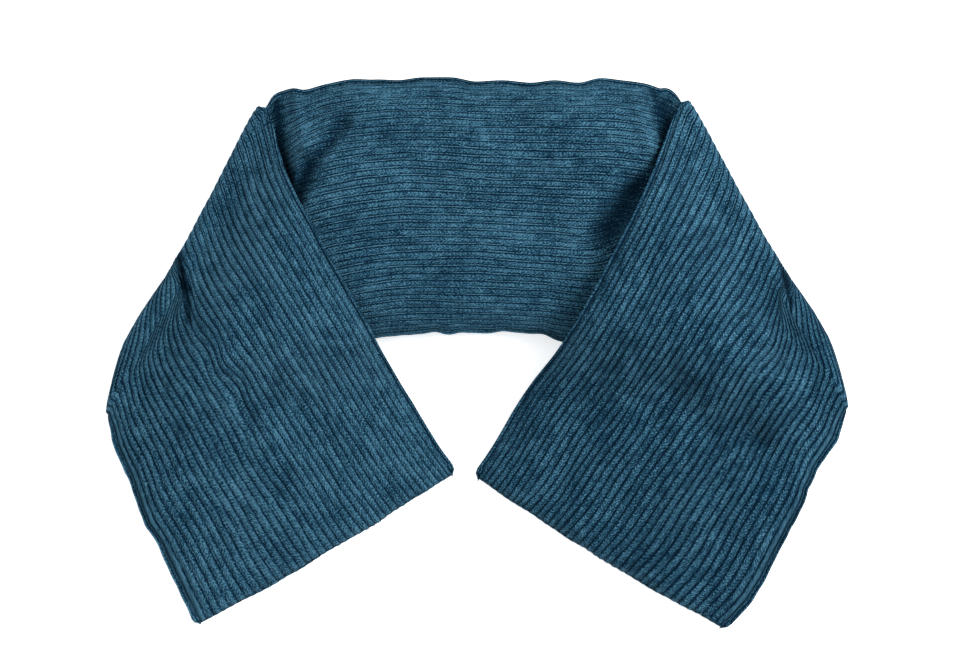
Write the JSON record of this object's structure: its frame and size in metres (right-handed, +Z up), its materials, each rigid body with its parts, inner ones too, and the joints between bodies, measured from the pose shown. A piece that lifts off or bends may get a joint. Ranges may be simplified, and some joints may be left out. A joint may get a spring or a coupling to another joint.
{
  "type": "wheat heat bag",
  "caption": "Long ribbed chenille bag filled with wheat, lying flat with both ends folded over on top to make a collar for the neck and shoulders.",
  "frame": {"origin": "middle of the folded bag's footprint, on the surface that it lies on", "axes": "+X along the middle stretch, from the left flap to the right one; +Y away from the opening between the flaps, towards the edge that the ends fold at; +Z up"},
  "size_m": [0.3734, 0.2742, 0.046],
  "materials": {
    "teal_chenille": "ribbed cotton chenille with a soft cut pile, matt",
    "wheat_grain": "loose dry wheat grain, matt"
  },
  "bodies": {
    "root": {"front_panel": "teal_chenille", "back_panel": "teal_chenille", "wheat_filling": "wheat_grain"}
  },
  "joints": []
}
